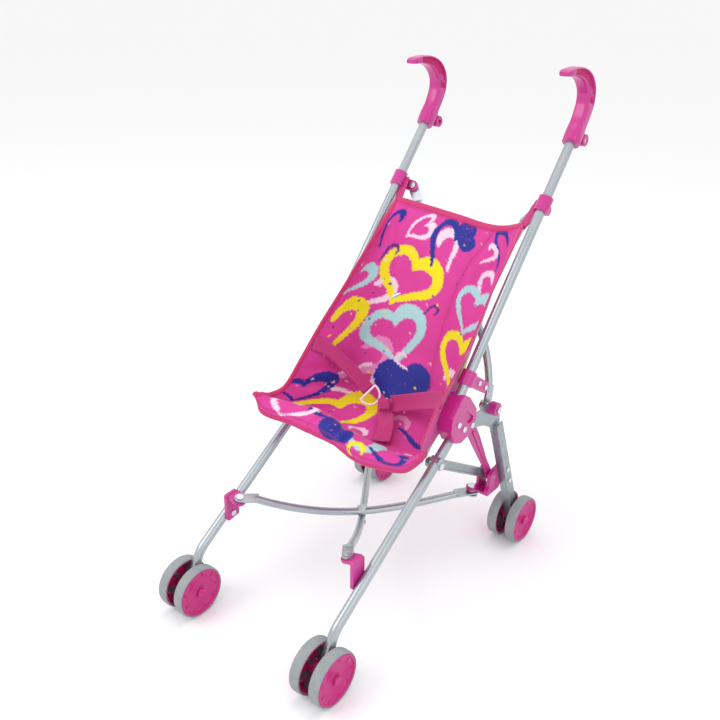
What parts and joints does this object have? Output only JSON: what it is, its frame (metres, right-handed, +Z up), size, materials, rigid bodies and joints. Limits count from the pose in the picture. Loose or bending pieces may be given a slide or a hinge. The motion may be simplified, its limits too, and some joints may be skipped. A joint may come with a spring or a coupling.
{
  "type": "doll stroller",
  "caption": "Umbrella-type doll stroller: two tubular side frames with hooked grips, crossed folding bars, a fabric sling seat with harness, and paired small wheels.",
  "frame": {"origin": "centre of the footprint's bounding box on the floor, under the middle of the stroller", "axes": "+Z up, front of the stroller towards -Y, mirrored about X = 0"},
  "size_m": [0.2592, 0.501, 0.5781],
  "materials": {
    "silver_tube": "silver powder coat",
    "zinc_plate": "zinc plated",
    "pink_plastic": "moulded, semi-gloss",
    "hub_plastic": "moulded",
    "grey_tyre": "soft moulded ring",
    "print_fabric": "printed polyester weave",
    "pink_webbing": "woven tape",
    "pale_plastic": "moulded"
  },
  "bodies": {
    "frame": {"buckle_ring": "pale_plastic", "clamp_right": "pink_plastic", "crotch_strap": "pink_webbing", "frame_fasteners_right": "zinc_plate", "front_axle_right": "zinc_plate", "front_bracket_right": "pink_plastic", "front_leg_right": "silver_tube", "grip_right": "pink_plastic", "handle_tube_right": "silver_tube", "hinge_block_right": "pink_plastic", "seat_fabric": "print_fabric", "strap_loops": "pink_webbing", "waist_belt_left": "pink_webbing", "waist_belt_right": "pink_webbing"},
    "left_frame": {"clamp_left": "pink_plastic", "frame_fasteners_left": "zinc_plate", "front_axle_left": "zinc_plate", "front_bracket_left": "pink_plastic", "front_leg_left": "silver_tube", "grip_left": "pink_plastic", "handle_tube_left": "silver_tube", "hinge_block_left": "pink_plastic"},
    "rear_leg_right": {"rear_leg_right": "zinc_plate", "rear_bracket_right": "pink_plastic", "knob_right": "pink_plastic", "rear_fasteners_right": "zinc_plate", "rear_axle_right": "zinc_plate"},
    "side_link_right": {"side_link_right": "zinc_plate"},
    "upper_bracket_right": {"upper_bracket_right": "pink_plastic"},
    "rear_leg_left": {"rear_leg_left": "zinc_plate", "rear_bracket_left": "pink_plastic", "knob_left": "pink_plastic", "rear_fasteners_left": "zinc_plate", "rear_axle_left": "zinc_plate"},
    "side_link_left": {"side_link_left": "zinc_plate"},
    "upper_bracket_left": {"upper_bracket_left": "pink_plastic"},
    "lower_bar_a": {"lower_bar_a": "silver_tube", "lower_rivet": "zinc_plate"},
    "lower_bar_b": {"lower_bar_b": "silver_tube"},
    "back_bar_a": {"back_bar_a": "silver_tube", "back_rivet": "zinc_plate"},
    "back_bar_b": {"back_bar_b": "silver_tube"},
    "front_outer_wheel_right": {"front_outer_hub_right": "hub_plastic", "front_outer_tyre_right": "grey_tyre"},
    "front_inner_wheel_right": {"front_inner_hub_right": "hub_plastic", "front_inner_tyre_right": "grey_tyre"},
    "rear_outer_wheel_right": {"rear_outer_hub_right": "hub_plastic", "rear_outer_tyre_right": "grey_tyre"},
    "rear_inner_wheel_right": {"rear_inner_hub_right": "hub_plastic", "rear_inner_tyre_right": "grey_tyre"},
    "lock_strut_right": {"lock_strut_right": "pink_plastic"},
    "front_outer_wheel_left": {"front_outer_hub_left": "hub_plastic", "front_outer_tyre_left": "grey_tyre"},
    "front_inner_wheel_left": {"front_inner_hub_left": "hub_plastic", "front_inner_tyre_left": "grey_tyre"},
    "rear_outer_wheel_left": {"rear_outer_hub_left": "hub_plastic", "rear_outer_tyre_left": "grey_tyre"},
    "rear_inner_wheel_left": {"rear_inner_hub_left": "hub_plastic", "rear_inner_tyre_left": "grey_tyre"},
    "lock_strut_left": {"lock_strut_left": "pink_plastic"}
  },
  "joints": [
    {"name": "fold", "type": "slide", "parent": "frame", "child": "left_frame", "axis": [1, 0, 0], "range_m": [0, 0.06], "deforming": ["seat_fabric", "waist_belt_left", "waist_belt_right", "crotch_strap", "buckle_ring", "strap_loops"]},
    {"name": "rear_leg_right_swing", "type": "hinge", "parent": "frame", "child": "rear_leg_right", "pos_m": [0.104, 0.0181, 0.2095], "axis": [1, 0, 0], "range_deg": [0, 16.1]},
    {"name": "side_link_right_swing", "type": "hinge", "parent": "frame", "child": "side_link_right", "pos_m": [0.0898, -0.0349, 0.18], "axis": [1, 0, 0], "range_deg": [0, 12.4]},
    {"name": "upper_bracket_right_slide", "type": "slide", "parent": "frame", "child": "upper_bracket_right", "axis": [0, 0.6422, 0.7665], "range_m": [0, 0.0489]},
    {"name": "lower_bar_b_turn", "type": "hinge", "parent": "frame", "child": "lower_bar_b", "pos_m": [0.08, -0.1589, 0.121], "axis": [-0.3097, -0.0599, 0.949], "range_deg": [-14.3, 0]},
    {"name": "back_bar_b_turn", "type": "hinge", "parent": "upper_bracket_right", "child": "back_bar_b", "pos_m": [0.086, 0.16272, 0.41901], "axis": [-0.2102, -0.8009, 0.5606], "range_deg": [0, 14.2]},
    {"name": "rear_leg_left_swing", "type": "hinge", "parent": "left_frame", "child": "rear_leg_left", "pos_m": [-0.104, 0.0181, 0.2095], "axis": [1, 0, 0], "range_deg": [0, 16.1]},
    {"name": "side_link_left_swing", "type": "hinge", "parent": "left_frame", "child": "side_link_left", "pos_m": [-0.0898, -0.0349, 0.18], "axis": [1, 0, 0], "range_deg": [0, 12.4]},
    {"name": "upper_bracket_left_slide", "type": "slide", "parent": "left_frame", "child": "upper_bracket_left", "axis": [0, 0.6422, 0.7665], "range_m": [0, 0.0489]},
    {"name": "lower_bar_a_turn", "type": "hinge", "parent": "left_frame", "child": "lower_bar_a", "pos_m": [-0.08, -0.1589, 0.121], "axis": [0.3097, -0.0599, 0.949], "range_deg": [0, 14.3]},
    {"name": "back_bar_a_turn", "type": "hinge", "parent": "upper_bracket_left", "child": "back_bar_a", "pos_m": [-0.086, 0.16272, 0.41901], "axis": [0.2102, -0.8009, 0.5606], "range_deg": [-14.2, 0]},
    {"name": "front_outer_wheel_right_spin", "type": "hinge", "parent": "frame", "child": "front_outer_wheel_right", "pos_m": [0.113, -0.2219, 0.03], "axis": [1, 0, 0], "continuous": true},
    {"name": "front_inner_wheel_right_spin", "type": "hinge", "parent": "frame", "child": "front_inner_wheel_right", "pos_m": [0.087, -0.2219, 0.03], "axis": [1, 0, 0], "continuous": true},
    {"name": "rear_outer_wheel_right_spin", "type": "hinge", "parent": "rear_leg_right", "child": "rear_outer_wheel_right", "pos_m": [0.123, 0.1321, 0.03], "axis": [1, 0, 0], "continuous": true},
    {"name": "rear_inner_wheel_right_spin", "type": "hinge", "parent": "rear_leg_right", "child": "rear_inner_wheel_right", "pos_m": [0.097, 0.1321, 0.03], "axis": [1, 0, 0], "continuous": true},
    {"name": "front_outer_wheel_left_spin", "type": "hinge", "parent": "left_frame", "child": "front_outer_wheel_left", "pos_m": [-0.113, -0.2219, 0.03], "axis": [1, 0, 0], "continuous": true},
    {"name": "front_inner_wheel_left_spin", "type": "hinge", "parent": "left_frame", "child": "front_inner_wheel_left", "pos_m": [-0.087, -0.2219, 0.03], "axis": [1, 0, 0], "continuous": true},
    {"name": "rear_outer_wheel_left_spin", "type": "hinge", "parent": "rear_leg_left", "child": "rear_outer_wheel_left", "pos_m": [-0.123, 0.1321, 0.03], "axis": [1, 0, 0], "continuous": true},
    {"name": "rear_inner_wheel_left_spin", "type": "hinge", "parent": "rear_leg_left", "child": "rear_inner_wheel_left", "pos_m": [-0.097, 0.1321, 0.03], "axis": [1, 0, 0], "continuous": true},
    {"name": "lock_strut_right_swing", "type": "hinge", "parent": "rear_leg_right", "child": "lock_strut_right", "pos_m": [0.0949, 0.0901, 0.105], "axis": [1, 0, 0], "range_deg": [0, 28]},
    {"name": "lock_strut_left_swing", "type": "hinge", "parent": "rear_leg_left", "child": "lock_strut_left", "pos_m": [-0.0949, 0.0901, 0.105], "axis": [1, 0, 0], "range_deg": [0, 28]}
  ],
  "couplings": [
    {"joint": "rear_leg_right_swing", "follows": "fold", "rad_per_m": 4.6833},
    {"joint": "side_link_right_swing", "follows": "fold", "rad_per_m": 3.607},
    {"joint": "upper_bracket_right_slide", "follows": "fold", "ratio": 0.815},
    {"joint": "lower_bar_b_turn", "follows": "fold", "rad_per_m": -4.1597},
    {"joint": "back_bar_b_turn", "follows": "fold", "rad_per_m": 4.1306},
    {"joint": "rear_leg_left_swing", "follows": "fold", "rad_per_m": 4.6833},
    {"joint": "side_link_left_swing", "follows": "fold", "rad_per_m": 3.607},
    {"joint": "upper_bracket_left_slide", "follows": "fold", "ratio": 0.815},
    {"joint": "lower_bar_a_turn", "follows": "fold", "rad_per_m": 4.1597},
    {"joint": "back_bar_a_turn", "follows": "fold", "rad_per_m": -4.1306}
  ]
}
